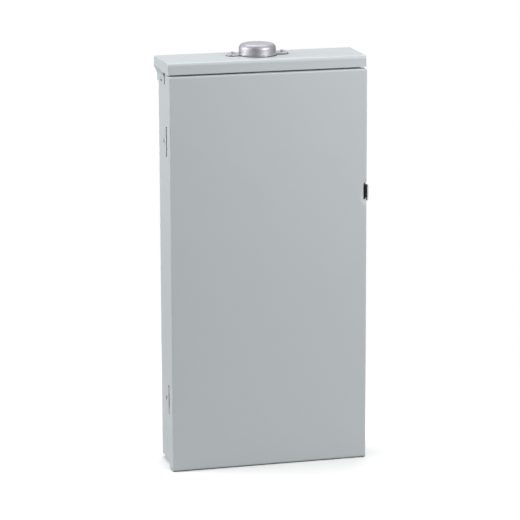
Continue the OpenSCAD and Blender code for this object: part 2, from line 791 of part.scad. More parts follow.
// Terminal bar with a cross bore and a screw hole at each place
module neutral_bar(side) {
    color("lightgray") translate([side * neutral_x, 0, 0]) difference() {
        block([-bar_w / 2, neutral_front, neutral_z0], [bar_w / 2, neutral_back, neutral_z1]);
        for (i = [0:terminals - 1]) translate([0, 0, terminal_z(i)]) {
            translate([-bar_w, (neutral_front + neutral_back) / 2 + 1, 0]) rod_x(terminal_r, 2 * bar_w);
            translate([0, neutral_front - past, 0]) rod_y(set_screw_r + screw_gap, bar_d / 2 + past);
        }
    }
}

module neutral_bar_left() {
    neutral_bar(-1);
}

module neutral_bar_right() {
    neutral_bar(1);
}

// Strip under the two neutral bars that joins them
module neutral_strap() {
    color("lightgray") difference() {
        block([-neutral_x - bar_w / 2, neutral_front, neutral_z0 - strap_h],
            [neutral_x + bar_w / 2, neutral_front + strap_t, neutral_z0]);
        translate([neutral_x, neutral_front - past, neutral_z0 - strap_h / 2])
            rod_y(pan_screw_r + screw_gap, strap_t + 2 * past);
    }
}

module neutral_standoffs() {
    color("dimgray") for (side = [-1, 1], z = [neutral_z0 + 8, neutral_z1 - 12])
        translate([side * neutral_x, 0, z])
            block([-bar_w / 2 + 2, neutral_back, -7], [bar_w / 2 + 2, back_in - touch - 2 * pan_t, 7]);
}

module neutral_screws() {
    color("gainsboro") for (side = [-1, 1], i = [0:terminals - 1])
        translate([side * neutral_x, neutral_front - 1.5, terminal_z(i)])
            screw_y(set_screw_r, bar_d / 2, set_screw_head_r, 2.4);
}

// Large lug on top of the left neutral bar
module neutral_lug() {
    z0 = neutral_z1 + 4;
    color("lightgray") translate([-neutral_x, 0, 0]) difference() {
        union() {
            block([-lug_w / 2, neutral_back - 24, z0], [lug_w / 2, neutral_back, z0 + lug_l]);
            block([-bar_w / 2, neutral_back - bar_d, neutral_z1], [bar_w / 2, neutral_back, z0]);
        }
        translate([0, neutral_back - 12, z0 - past]) rod_z(lug_bore_r, lug_l + 2 * past);
        translate([0, neutral_back - 25, z0 + lug_l / 2]) rod_y(lug_screw_r + screw_gap, 10);
    }
}

module neutral_lug_screw() {
    color("gainsboro") translate([-neutral_x, neutral_back - 28, neutral_z1 + 4 + lug_l / 2]) difference() {
        rod_y(lug_screw_r, 9);
        translate([0, -past, 0]) rotate([-90, 0, 0]) cylinder(r = 3, h = 5, $fn = 6);
    }
}

module bonding_screw() {
    color("seagreen") translate([neutral_x, neutral_front, neutral_z0 - strap_h / 2])
        screw_y(pan_screw_r, back_in - neutral_front + 2, 4.6, 2.6);
}

module ground_bar() {
    front = ground_back - bar_d;
    color("lightgray") difference() {
        union() {
            block([-ground_l / 2, front, ground_z - bar_w / 2],
                [ground_l / 2, ground_back, ground_z + bar_w / 2]);
            for (side = [-1, 1]) translate([side * ground_screw_x, ground_back, ground_z])
                rod_y(4, 2 - touch);
        }
        for (i = [0:ground_terminals - 1])
            translate([(i - (ground_terminals - 1) / 2) * terminal_pitch, 0, ground_z]) {
            translate([0, front + bar_d / 2 + 1, -bar_w]) rod_z(terminal_r, 2 * bar_w);
            translate([0, front - past, 0]) rod_y(set_screw_r + screw_gap, bar_d / 2 + past);
        }
        for (side = [-1, 1]) translate([side * ground_screw_x, front - past, ground_z])
            rod_y(pan_screw_r + screw_gap, bar_d + 3 * past);
    }
}

module ground_bar_screws() {
    front = ground_back - bar_d;
    color("gainsboro") {
        for (i = [0:ground_terminals - 1])
            translate([(i - (ground_terminals - 1) / 2) * terminal_pitch, front - 1.5, ground_z])
                screw_y(set_screw_r, bar_d / 2, set_screw_head_r, 2.4);
        for (side = [-1, 1]) translate([side * ground_screw_x, front, ground_z])
            screw_y(pan_screw_r, bar_d + 5, 4.6, 2.4);
    }
}

// Two-pole main breaker above the branch rows
module main_case() {
    half = main_w / 2;
    color([0.16, 0.16, 0.17]) translate([0, 0, main_z]) difference() {
        union() {
            block([-half, shoulder_y, -main_h / 2], [half, breaker_back - 6, main_h / 2 - lug_l]);
            block([-half, shoulder_y, main_h / 2 - lug_l], [half, lug_y0 - slip, main_h / 2]);
            for (x = [-half, -3, half - 6])
                block([x, shoulder_y, main_h / 2 - lug_l - past], [x + 6, breaker_back - 6, main_h / 2]);
            block([-main_nose_w / 2, nose_y, -main_nose_h / 2],
                [main_nose_w / 2, shoulder_y, main_nose_h / 2]);
        }
        block([-main_handle_w / 2 - slip, nose_y - past, -17],
            [main_handle_w / 2 + slip, main_pivot_y + main_handle_hub_r + 2, 17]);
        for (side = [-1, 1]) translate([side * lug_x, shoulder_y - past, main_h / 2 - lug_l / 2])
            rod_y(lug_screw_r + 1, 12);
        for (side = [-1, 1]) scale([side, 1, 1])
            block([bus_x - bus_w / 2 - past, breaker_back - 12, -main_h / 2 - past],
                [bus_x + bus_w / 2 + past, breaker_back, -22]);
    }
}

module main_handle() {
    paddle_top = nose_y - main_handle_out;
    color([0.12, 0.12, 0.13]) translate([0, main_pivot_y, main_z]) rotate([-main_throw / 2, 0, 0]) {
        translate([-main_handle_w / 2, 0, 0]) rod_x(main_handle_hub_r, main_handle_w);
        block([-main_handle_w / 2, paddle_top - main_pivot_y, -5], [main_handle_w / 2, 0, 5]);
    }
}

module main_lugs() {
    z0 = main_top - lug_l + slip;
    color("lightgray") for (side = [-1, 1]) translate([side * lug_x, 0, 0]) difference() {
        block([-lug_w / 2 + 4, lug_y0, z0], [lug_w / 2 - 4 + 2, lug_y0 + lug_d, main_top + 6]);
        translate([1, lug_y0 + lug_d / 2 + 2, z0 - past]) rod_z(lug_bore_r, lug_l + 4 * past + 6);
        translate([0, lug_y0 - past, main_top - lug_l / 2]) rod_y(lug_screw_r + screw_gap, 8);
    }
}

module main_lug_screws() {
    color("gainsboro") for (side = [-1, 1]) translate([side * lug_x, lug_y0 - 6, main_top - lug_l / 2])
        difference() {
        rod_y(lug_screw_r, 12);
        translate([0, -past, 0]) rotate([-90, 0, 0]) cylinder(r = 3, h = 6, $fn = 6);
    }
}

// Cover over the wiring, with windows for the breakers
module dead_front() {
    color("silver") difference() {
        union() {
            block([-cover_half, cover_front, cover_bot], [cover_half, box_front, cover_top]);
            for (side = [-1, 1]) scale([side, 1, 1])
                block([cover_half - cover_t, cover_front - cover_edge, cover_bot],
                    [cover_half, box_front, cover_top]);
        }
        for (side = [-1, 1]) scale([side, 1, 1])
            block([nose_x0 - 0.5, cover_front - past, row_bottom - 0.5],
                [nose_x1 + 0.5, box_front + past, row_top + 0.5]);
        block([-main_nose_w / 2 - 0.5, cover_front - past, main_z - main_nose_h / 2 - 0.5],
            [main_nose_w / 2 + 0.5, box_front + past, main_z + main_nose_h / 2 + 0.5]);
        for (side = [-1, 1], z = cover_screws_z)
            translate([side * cover_screw_x, cover_front - past, z])
                rod_y(cover_screw_r + screw_gap, cover_t + 2 * past);
    }
}

module dead_front_screws() {
    color("gainsboro") for (side = [-1, 1], z = cover_screws_z)
        translate([side * cover_screw_x, cover_front, z]) screw_y(cover_screw_r, 8, 2.7, 2);
}

// Twist-out plates over the free spaces
module filler_plates() {
    color("silver") for (side = [-1, 1], row = [first_free_row:rows - 1])
        translate([0, 0, row_z(row)]) scale([side, 1, 1]) {
            block([nose_x0 - 3, cover_front - cover_t, -pitch / 2 + 0.5],
                [nose_x1 + 3, cover_front, pitch / 2 - 0.5]);
            block([nose_x0 + 1, cover_front, -5], [nose_x0 + 2, box_front + 3, 5]);
            block([nose_x1 - 2, cover_front, -5], [nose_x1 - 1, box_front + 3, 5]);
        }
}

module rating_label() {
    color("white") block([-60, cover_front - 0.3, main_top + 24], [60, cover_front, main_top + 84]);
}

// Case of a branch breaker, in outline from the centre of the panel outwards
module breaker_case(index) {
    side = breakers[index][0];
    row = breakers[index][1];
    poles = breakers[index][2];
    h = poles * pitch - breaker_gap;
    mid = row_top - (row + poles / 2) * pitch;
    color([0.16, 0.16, 0.17]) scale([side, 1, 1]) difference() {
        translate([0, 0, mid - h / 2]) linear_extrude(h) polygon([
            [breaker_x0, breaker_back], [breaker_x0, shoulder_y + 6], [breaker_x0 + 6, shoulder_y],
            [nose_x0, shoulder_y], [nose_x0, nose_y], [nose_x1, nose_y], [nose_x1, shoulder_y],
            [terminal_x - 6, shoulder_y], [breaker_x1, shoulder_y + 10], [breaker_x1, breaker_back],
            [rail_x + 2, breaker_back], [rail_x + 2, breaker_back - rail_notch],
            [rail_x - 2, breaker_back - rail_notch], [rail_x - 2, breaker_back]]);
        for (pole = [0:poles - 1]) translate([0, 0, row_z(row + pole)]) {
            block([breaker_x0 - past, breaker_back - blade_d - 2, -blade_t / 2 - 0.4],
                [breaker_x0 + stab_slot_l, breaker_back + past, blade_t / 2 + 0.4]);
            block([handle_x - 10, nose_y - past, -handle_w / 2 - slip],
                [handle_x + 10, handle_y + handle_hub_r + 1, handle_w / 2 + slip]);
            translate([terminal_x, shoulder_y + 24, 0]) rod_x(terminal_bore_r, 20);
            translate([terminal_x, shoulder_y - past, 0]) rod_y(3.4, 22);
        }
    }
}

// Handle, thrown towards the centre of the panel when on
module breaker_handle(index) {
    side = breakers[index][0];
    row = breakers[index][1];
    poles = breakers[index][2];
    reach = handle_y - nose_y + handle_out;
    color([0.12, 0.12, 0.13]) scale([side, 1, 1]) translate([handle_x, handle_y, 0])
        rotate([0, 0, -throw / 2]) {
        for (pole = [0:poles - 1]) translate([0, 0, row_z(row + pole) - handle_w / 2]) {
            rod_z(handle_hub_r, handle_w);
            block([-handle_t / 2, -reach, 0], [handle_t / 2, 0, handle_w]);
        }
        if (poles == 2)
            block([-handle_t / 2, -reach, row_z(row + 1)], [handle_t / 2, -reach + 4, row_z(row)]);
    }
}

module branch_terminal_screws() {
    color("gainsboro") for (item = breakers, pole = [0:item[2] - 1])
        translate([item[0] * terminal_x, shoulder_y + 8, row_z(item[1] + pole)]) screw_y(2.4, 10, 3.2, 2.4);
}

box_wrapper();
bottom_endwall();
top_header();
rain_hood();
side_knockouts();
bottom_knockouts();
back_knockouts();
hub_gasket();
hub_plate();
hub_screws();
ear_screws();
hinge_brackets();
hinge_rivets();
hinge_pins();
door_panel();
door_hinge_leaves();
directory_card();
latch_bracket();
latch_pin();
latch_lever();
latch_spring();
interior_pan();
pan_screws();
bus_insulator();
bus_bar_a();
bus_bar_b();
neutral_bar_left();
neutral_bar_right();
neutral_strap();
neutral_standoffs();
neutral_screws();
neutral_lug();
neutral_lug_screw();
bonding_screw();
ground_bar();
ground_bar_screws();
main_case();
main_handle();
main_lugs();
main_lug_screws();
dead_front();
dead_front_screws();
filler_plates();
rating_label();
breaker_case(0);  // breaker_1_case
breaker_case(1);  // breaker_2_case
breaker_case(2);  // breaker_3_case
breaker_case(3);  // breaker_4_case
breaker_case(4);  // breaker_5_case
breaker_case(5);  // breaker_6_case
breaker_handle(0);  // breaker_1_handle
breaker_handle(1);  // breaker_2_handle
breaker_handle(2);  // breaker_3_handle
breaker_handle(3);  // breaker_4_handle
breaker_handle(4);  // breaker_5_handle
breaker_handle(5);  // breaker_6_handle
branch_terminal_screws();
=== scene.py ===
import json
import math

import bmesh
import bpy
from mathutils import Matrix, Vector


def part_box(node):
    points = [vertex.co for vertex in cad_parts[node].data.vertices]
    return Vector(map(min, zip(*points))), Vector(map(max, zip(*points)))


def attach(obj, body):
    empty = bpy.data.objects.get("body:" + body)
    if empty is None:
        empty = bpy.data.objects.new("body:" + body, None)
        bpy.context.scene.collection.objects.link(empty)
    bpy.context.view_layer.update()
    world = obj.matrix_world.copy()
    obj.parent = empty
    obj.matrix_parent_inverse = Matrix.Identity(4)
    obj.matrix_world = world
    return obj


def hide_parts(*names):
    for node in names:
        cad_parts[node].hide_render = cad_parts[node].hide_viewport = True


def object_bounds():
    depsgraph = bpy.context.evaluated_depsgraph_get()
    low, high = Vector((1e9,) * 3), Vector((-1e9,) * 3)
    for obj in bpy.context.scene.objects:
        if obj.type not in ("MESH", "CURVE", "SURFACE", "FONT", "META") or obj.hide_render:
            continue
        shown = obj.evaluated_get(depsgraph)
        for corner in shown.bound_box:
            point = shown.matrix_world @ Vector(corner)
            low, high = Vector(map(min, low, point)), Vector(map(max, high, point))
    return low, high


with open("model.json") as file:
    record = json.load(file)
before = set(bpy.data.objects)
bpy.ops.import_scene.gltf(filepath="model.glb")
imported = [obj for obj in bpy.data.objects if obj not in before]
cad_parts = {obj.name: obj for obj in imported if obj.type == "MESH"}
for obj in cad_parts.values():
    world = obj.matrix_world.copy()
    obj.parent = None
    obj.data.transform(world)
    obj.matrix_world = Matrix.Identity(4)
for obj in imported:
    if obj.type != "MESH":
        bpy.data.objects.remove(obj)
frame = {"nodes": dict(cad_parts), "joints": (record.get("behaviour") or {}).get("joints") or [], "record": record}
cad_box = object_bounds()

MM = 0.001
SHEET = 1.5 * MM
TINY = 1e-5  # positions closer than this are the same place
JOIN = 1e-6  # vertices closer than this are joined
JOINTS = {joint["name"]: joint for joint in frame["joints"]}


# ---------------------------------------------------------------- shader groups

def node_group(name, inputs, outputs):
    """An empty shader group with the named inputs, each with its value, and outputs."""
    group = bpy.data.node_groups.new(name, "ShaderNodeTree")
    for label, kind, value in inputs:
        socket = group.interface.new_socket(label, in_out="INPUT", socket_type=kind)
        if value is not None:
            socket.default_value = value
    for label, kind in outputs:
        group.interface.new_socket(label, in_out="OUTPUT", socket_type=kind)
    return group, group.nodes.new("NodeGroupInput").outputs, group.nodes.new("NodeGroupOutput").inputs


def node(tree, kind, settings=None, **values):
    """A node with settings on itself and values or links on its inputs."""
    made = tree.nodes.new(kind)
    for key, value in (settings or {}).items():
        setattr(made, key, value)
    for key, value in values.items():
        socket = made.inputs[int(key[2:])] if key.startswith("in") else made.inputs[key]
        if isinstance(value, bpy.types.NodeSocket):
            tree.links.new(value, socket)
        else:
            socket.default_value = value
    return made


def math_node(tree, operation, a, b=0.0, clamp=False):
    return node(tree, "ShaderNodeMath", {"operation": operation, "use_clamp": clamp}, in0=a, in1=b).outputs[0]


def place_of(tree):
    return node(tree, "ShaderNodeTexCoord").outputs["Object"]


def noise(tree, place, scale, detail=2.0, roughness=0.5):
    made = node(tree, "ShaderNodeTexNoise", Vector=place, Scale=scale, Detail=detail, Roughness=roughness)
    return made.outputs["Fac"]


def remap(tree, value, low, high, to_low, to_high):
    return node(tree, "ShaderNodeMapRange", in0=value, in1=low, in2=high, in3=to_low, in4=to_high).outputs[0]


def paint_group():
    """Baked enamel on sheet: orange peel, faint roller mottling and soft smudges."""
    group, given, out = node_group("sprayed_enamel",
        [("Peel Scale", "NodeSocketFloat", 520.0), ("Mottle", "NodeSocketFloat", 0.03)],
        [("Tone", "NodeSocketFloat"), ("Smudge", "NodeSocketFloat"), ("Height", "NodeSocketFloat")])
    place = place_of(group)
    peel = noise(group, place, given["Peel Scale"], 1.5)
    fine = noise(group, place, 2600.0, 1.0)
    wave = noise(group, place, 9.0, 3.0, 0.55)
    cloud = noise(group, place, 38.0, 4.0, 0.6)
    half = math_node(group, "SUBTRACT", wave, 0.5)
    scaled = math_node(group, "MULTIPLY", half, given["Mottle"])
    group.links.new(math_node(group, "ADD", scaled, 1.0), out["Tone"])
    group.links.new(cloud, out["Smudge"])
    group.links.new(math_node(group, "ADD", peel, math_node(group, "MULTIPLY", fine, 0.25)), out["Height"])
    return group


def edge_wear_and_highlight_group():
    """Mask that is 1 on sharp edges of a piece and 0 on its faces, broken by noise. It brightens edges, partly as
    wear and partly as a painted highlight.
    """
    group, given, out = node_group("worn_and_highlit_edge",
        [("Radius", "NodeSocketFloat", 0.0008), ("Break Scale", "NodeSocketFloat", 160.0)],
        [("Mask", "NodeSocketFloat")])
    rounded = node(group, "ShaderNodeBevel", {"samples": 3}, Radius=given["Radius"]).outputs[0]
    plain = node(group, "ShaderNodeNewGeometry").outputs["Normal"]
    dot = node(group, "ShaderNodeVectorMath", {"operation": "DOT_PRODUCT"},
        in0=rounded, in1=plain).outputs["Value"]
    edge = remap(group, dot, 0.985, 0.86, 0.0, 1.0)
    broken = remap(group, noise(group, place_of(group), given["Break Scale"], 3.0), 0.35, 0.62, 0.25, 1.0)
    group.links.new(math_node(group, "MULTIPLY", edge, broken, True), out["Mask"])
    return group


def gap_shade_group():
    """Mask that is 1 deep in narrow gaps and 0 in the open; it paints shade there, near black."""
    group, given, out = node_group("gap_shade",
        [("Reach", "NodeSocketFloat", 0.014), ("Open", "NodeSocketFloat", 0.62)],
        [("Mask", "NodeSocketFloat")])
    openness = node(group, "ShaderNodeAmbientOcclusion", {"samples": 6},
        Distance=given["Reach"]).outputs["AO"]
    group.links.new(remap(group, openness, 0.2, given["Open"], 1.0, 0.0), out["Mask"])
    return group


def spangle_group():
    """Zinc crystals of hot-dip galvanising, with the rolling marks under them."""
    group, given, out = node_group("zinc_spangle",
        [("Crystal Scale", "NodeSocketFloat", 110.0)],
        [("Tone", "NodeSocketFloat"), ("Height", "NodeSocketFloat")])
    place = place_of(group)
    cells = node(group, "ShaderNodeTexVoronoi", Vector=place, Scale=given["Crystal Scale"]).outputs["Color"]
    crystal = node(group, "ShaderNodeRGBToBW", Color=cells).outputs[0]
    soft = noise(group, place, 30.0, 3.0)
    group.links.new(math_node(group, "ADD", math_node(group, "MULTIPLY", crystal, 0.7),
        math_node(group, "MULTIPLY", soft, 0.3)), out["Tone"])
    group.links.new(noise(group, place, 900.0, 2.0), out["Height"])
    return group


def grain_group():
    """Drawn metal: fine lines along one axis, broken up by a slow cloud."""
    group, given, out = node_group("drawn_grain",
        [("Stretch", "NodeSocketVector", (1.0, 1.0, 1.0)), ("Line Scale", "NodeSocketFloat", 900.0)],
        [("Lines", "NodeSocketFloat"), ("Cloud", "NodeSocketFloat")])
    place = place_of(group)
    drawn = node(group, "ShaderNodeVectorMath", {"operation": "MULTIPLY"},
        in0=place, in1=given["Stretch"]).outputs[0]
    group.links.new(noise(group, drawn, given["Line Scale"], 2.0), out["Lines"])
    group.links.new(noise(group, place, 55.0, 4.0, 0.6), out["Cloud"])
    return group


def mould_group():
    """Spark-eroded texture of a plastic moulding, with slight flow marks."""
    group, given, out = node_group("moulded_texture",
        [("Grain Scale", "NodeSocketFloat", 1800.0)],
        [("Grain", "NodeSocketFloat"), ("Flow", "NodeSocketFloat")])
    place = place_of(group)
    group.links.new(noise(group, place, given["Grain Scale"], 2.0, 0.6), out["Grain"])
    group.links.new(noise(group, place, 70.0, 3.0, 0.55), out["Flow"])
    return group


PAINT = paint_group()
EDGE_WEAR_AND_HIGHLIGHT = edge_wear_and_highlight_group()
GAP_SHADE = gap_shade_group()
SPANGLE = spangle_group()
GRAIN = grain_group()
MOULD = mould_group()


# ------------------------------------------------------------------- materials

def material(name, **sockets):
    """A material with its Principled shader's own sockets set, and its node tree."""
    made = bpy.data.materials.new(name)
    made.use_nodes = True
    shader = made.node_tree.nodes["Principled BSDF"]
    for key, value in sockets.items():
        shader.inputs[key.replace("_", " ")].default_value = value
    return made, made.node_tree, shader


def use(tree, group, **values):
    placed = node(tree, "ShaderNodeGroup", {"node_tree": group})
    for key, value in values.items():
        placed.inputs[key.replace("_", " ")].default_value = value
    return placed.outputs


def colour_mix(tree, factor, first, second):
    mix = node(tree, "ShaderNodeMix", {"data_type": "RGBA"}, in0=factor)
    for index, value in ((6, first), (7, second)):
        if isinstance(value, bpy.types.NodeSocket):
            tree.links.new(value, mix.inputs[index])
        else:
            mix.inputs[index].default_value = (*value, 1.0)
    return mix.outputs[2]


def bump(tree, shader, height, depth, strength=1.0):
    made = node(tree, "ShaderNodeBump", Height=height, Distance=depth, Strength=strength)
    tree.links.new(made.outputs[0], shader.inputs["Normal"])


SHADE = (0.012, 0.014, 0.016)


def shaded(tree, mask, colour):
    """The colour with painted shade: near black where the mask is 1."""
    return colour_mix(tree, math_node(tree, "MULTIPLY", mask, 0.93), colour, SHADE)


def enamel(name, colour, roughness=0.42, mottle=0.03):
    """Light gray baked enamel over steel, with a painted highlight along its edges and painted shade in narrow
    gaps.
    """
    made, tree, shader = material(name, Specular_IOR_Level=0.45, Coat_Weight=0.12, Coat_Roughness=0.28)
    paint = use(tree, PAINT, Mottle=mottle)
    edge = use(tree, EDGE_WEAR_AND_HIGHLIGHT, Radius=0.0007)
    dark = tuple(c * 0.97 for c in colour)
    tone = remap(tree, paint["Tone"], 1.0 - mottle / 2, 1.0 + mottle / 2, 0.0, 1.0)
    body = colour_mix(tree, tone, dark, colour)
    edge_highlight_colour = tuple(min(1.0, c * 1.07) for c in colour)
    # painted highlight: the colour turns paler along sharp edges
    wear_and_highlight = math_node(tree, "MULTIPLY", edge["Mask"], 0.55)
    # painted shade: near black deep in narrow gaps
    body = shaded(tree, use(tree, GAP_SHADE)["Mask"], colour_mix(tree, wear_and_highlight, body, edge_highlight_colour))
    tree.links.new(body, shader.inputs["Base Color"])
    rough = remap(tree, paint["Smudge"], 0.3, 0.7, roughness - 0.035, roughness + 0.045)
    tree.links.new(rough, shader.inputs["Roughness"])
    bump(tree, shader, paint["Height"], 0.00004, 0.35)
    return made


def plated(name, colour, roughness=0.3, line_scale=700.0, stretch=(1.0, 1.0, 1.0), depth=0.00002):
    """Bare or plated metal with drawing lines, a cloudy surface, and brighter edges that are partly wear and
    partly a painted highlight.
    """
    made, tree, shader = material(name, Metallic=1.0)
    grain = use(tree, GRAIN, Line_Scale=line_scale, Stretch=stretch)
    edge = use(tree, EDGE_WEAR_AND_HIGHLIGHT, Radius=0.0005)
    dull = tuple(c * 0.86 for c in colour)
    body = colour_mix(tree, remap(tree, grain["Cloud"], 0.35, 0.65, 0.0, 1.0), dull, colour)
    bright = tuple(min(1.0, c * 1.12) for c in colour)
    # brighter edges: partly wear, partly a painted highlight
    wear_and_highlight = math_node(tree, "MULTIPLY", edge["Mask"], 0.6)
    tree.links.new(colour_mix(tree, wear_and_highlight, body, bright), shader.inputs["Base Color"])
    rough = remap(tree, grain["Lines"], 0.3, 0.7, roughness - 0.06, roughness + 0.08)
    tree.links.new(rough, shader.inputs["Roughness"])
    bump(tree, shader, grain["Lines"], depth, 0.5)
    return made


def galvanised(name):
    """Hot-dip galvanised sheet with its spangle."""
    made, tree, shader = material(name, Metallic=1.0)
    zinc = use(tree, SPANGLE)
    body = colour_mix(tree, zinc["Tone"], (0.50, 0.52, 0.54), (0.68, 0.70, 0.72))
    tree.links.new(body, shader.inputs["Base Color"])
    tree.links.new(remap(tree, zinc["Tone"], 0.2, 0.8, 0.34, 0.5), shader.inputs["Roughness"])
    bump(tree, shader, zinc["Height"], 0.00003, 0.4)
    return made


def moulding(name, colour, roughness, grain_scale=1800.0, depth=0.00003, shade_well=None):
    """Moulded plastic, paler along its edges as a painted highlight, and with painted shade in narrow gaps.
    A shade well is the first and last depth, along Y, over which painted shade darkens it to near black."""
    made, tree, shader = material(name, Specular_IOR_Level=0.5)
    mould = use(tree, MOULD, Grain_Scale=grain_scale)
    edge = use(tree, EDGE_WEAR_AND_HIGHLIGHT, Radius=0.0006)
    pale = tuple(min(1.0, c * 1.25 + 0.01) for c in colour)
    body = colour_mix(tree, remap(tree, mould["Flow"], 0.3, 0.7, 0.0, 0.35), colour, pale)
    # painted highlight: paler along sharp edges
    body = colour_mix(tree, math_node(tree, "MULTIPLY", edge["Mask"], 0.35), body, pale)
    # painted shade: near black deep in narrow gaps
    shade = use(tree, GAP_SHADE, Open=0.35)["Mask"]
    # painted shade: behind the shade well's first depth the colour fades to near black
    if shade_well:
        behind = node(tree, "ShaderNodeSeparateXYZ", Vector=place_of(tree)).outputs["Y"]
        shade = math_node(tree, "MAXIMUM", shade, remap(tree, behind, *shade_well, 0.0, 1.0))
    tree.links.new(shaded(tree, shade, body), shader.inputs["Base Color"])
    rough = remap(tree, mould["Grain"], 0.3, 0.7, roughness - 0.05, roughness + 0.07)
    tree.links.new(rough, shader.inputs["Roughness"])
    bump(tree, shader, mould["Grain"], depth, 0.45)
    return made


def card(name, line_gap, line_share, first_line):
    """Blank printed card: ruled lines and two columns, no lettering."""
    made, tree, shader = material(name, Roughness=0.62, Specular_IOR_Level=0.3)
    place = place_of(tree)
    split = node(tree, "ShaderNodeSeparateXYZ", Vector=place)
    across = split.outputs["X"]
    up = math_node(tree, "SUBTRACT", split.outputs["Z"], first_line)
    within = math_node(tree, "FRACT", math_node(tree, "DIVIDE", up, line_gap))
    rule = math_node(tree, "LESS_THAN", within, line_share)
    column = math_node(tree, "LESS_THAN", math_node(tree, "ABSOLUTE", across), 0.0006)
    ink = math_node(tree, "MAXIMUM", rule, column)
    fibre = remap(tree, noise(tree, place, 1400.0, 4.0), 0.3, 0.7, 0.0, 1.0)
    paper = colour_mix(tree, fibre, (0.82, 0.82, 0.79), (0.88, 0.88, 0.85))
    tree.links.new(colour_mix(tree, ink, paper, (0.25, 0.27, 0.30)), shader.inputs["Base Color"])
    bump(tree, shader, noise(tree, place, 1400.0, 4.0), 0.00003, 0.3)
    return made


GRAY = (0.520, 0.560, 0.578)
FINISH = {
    "gray_enamel": enamel("gray_enamel", GRAY),
    "painted_rivet": enamel("painted_rivet", GRAY, 0.45),
    "rubber_gasket": moulding("rubber_gasket", (0.03, 0.03, 0.03), 0.75, 900.0, 0.00006),
    "cast_zinc": plated("cast_zinc", (0.47, 0.46, 0.50), 0.52, 420.0, (1.0, 1.0, 1.0), 0.00003),
    "zinc_plated_steel": plated("zinc_plated_steel", (0.72, 0.73, 0.75), 0.26),
    "galvanised_pan": galvanised("galvanised_pan"),
    # the latch web behind the door face gets painted shade, near black, through its shade well
    "latch_plastic": moulding("latch_plastic", (0.60, 0.63, 0.64), 0.42, shade_well=(-0.1172, -0.1143)),
    "insulator_plastic": moulding("insulator_plastic", (0.045, 0.045, 0.05), 0.5),
    "plated_bus": plated("plated_bus", (0.74, 0.73, 0.70), 0.24, 500.0, (1.0, 1.0, 0.06)),
    "bare_aluminium": plated("bare_aluminium", (0.76, 0.76, 0.77), 0.33, 600.0, (1.0, 1.0, 0.05)),
    "green_screw": plated("green_screw", (0.04, 0.34, 0.13), 0.3),
    "breaker_plastic": moulding("breaker_plastic", (0.022, 0.022, 0.024), 0.48),
    "handle_plastic": moulding("handle_plastic", (0.016, 0.016, 0.018), 0.34, 2400.0, 0.000015),
    "label_paper": card("label_paper", 0.0155, 0.03, -0.19),
    "printing_ink": moulding("printing_ink", (0.03, 0.03, 0.035), 0.6),
}


# ------------------------------------------------------------------ mesh tools

def block(bm, low, high):
    """A box between two corners."""
    low, high = Vector(low), Vector(high)
    size = high - low
    matrix = Matrix.Translation((low + high) / 2) @ Matrix.Diagonal((*size, 1.0))
    return bmesh.ops.create_cube(bm, size=1.0, matrix=matrix)["verts"]


def drum(bm, centre, radius, depth, axis="Z", segments=40, top=None):
    """A closed cylinder or cone whose middle is at centre."""
    turn = {"X": Matrix.Rotation(math.pi / 2, 4, "Y"), "Y": Matrix.Rotation(math.pi / 2, 4, "X"),
        "Z": Matrix.Identity(4)}[axis]
    return bmesh.ops.create_cone(bm, cap_ends=True, segments=segments, radius1=radius,
        radius2=radius if top is None else top, depth=depth, matrix=Matrix.Translation(centre) @ turn)["verts"]


def cut(bm, point, normal, faces=None):
    """Cuts faces, or the whole mesh, along a plane and keeps both sides."""
    faces = list(faces or bm.faces)
    edges = {edge for face in faces for edge in face.edges}
    verts = {vert for face in faces for vert in face.verts}
    bmesh.ops.bisect_plane(bm, geom=[*verts, *edges, *faces], plane_co=point, plane_no=normal)


def faces_where(bm, test):
    return [face for face in bm.faces if test(face.calc_center_median())]


def edges_where(bm, test):
    """Edges whose two ends both pass the test."""
    return [edge for edge in bm.edges if all(test(vert.co) for vert in edge.verts)]


def drop_faces(bm, test):
    bmesh.ops.delete(bm, geom=faces_where(bm, test), context="FACES")


def round_edges(bm, edges, radius, segments=3):
    bmesh.ops.bevel(bm, geom=edges, offset=radius, segments=segments, profile=0.5, affect="EDGES",
        material=-1, clamp_overlap=True)


def near(a, b, gap=TINY):
    return abs(a - b) < gap


def new_verts(made):
    """The vertices among what an operator made."""
    return [part for part in made if isinstance(part, bmesh.types.BMVert)]


def modifier(piece, kind, **settings):
    made = piece.modifiers.new(kind.lower(), kind)
    for key, value in settings.items():
        setattr(made, key, value)
    return made


def thicken(piece, thickness=SHEET):
    modifier(piece, "SOLIDIFY", thickness=thickness, offset=-1.0, use_even_offset=True)


def soften(piece, width, segments=2):
    """Breaks the sharp edges of a piece, and evens its shading."""
    modifier(piece, "BEVEL", width=width, segments=segments, limit_method="ANGLE",
        angle_limit=math.radians(40), use_clamp_overlap=True, harden_normals=False)
    modifier(piece, "WEIGHTED_NORMAL", keep_sharp=True)


def make_piece(name, bm, body, finish, replaces=(), smooth=35.0, outward=True):
    """Turns a bmesh into a finished piece that rides on a body."""
    if outward:
        bmesh.ops.recalc_face_normals(bm, faces=bm.faces[:])
    mesh = bpy.data.meshes.new(name)
    bm.to_mesh(mesh)
    bm.free()
    mesh.shade_smooth()
    mesh.set_sharp_from_angle(angle=math.radians(smooth))
    mesh.materials.append(FINISH[finish])
    piece = bpy.data.objects.new(name, mesh)
    bpy.context.scene.collection.objects.link(piece)
    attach(piece, body)
    if replaces:
        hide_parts(*replaces)
    return piece


# --------------------------------------------------------------- the door skin

def smooth_step(t):
    t = max(0.0, min(1.0, t))
    return t * t * (3.0 - 2.0 * t)


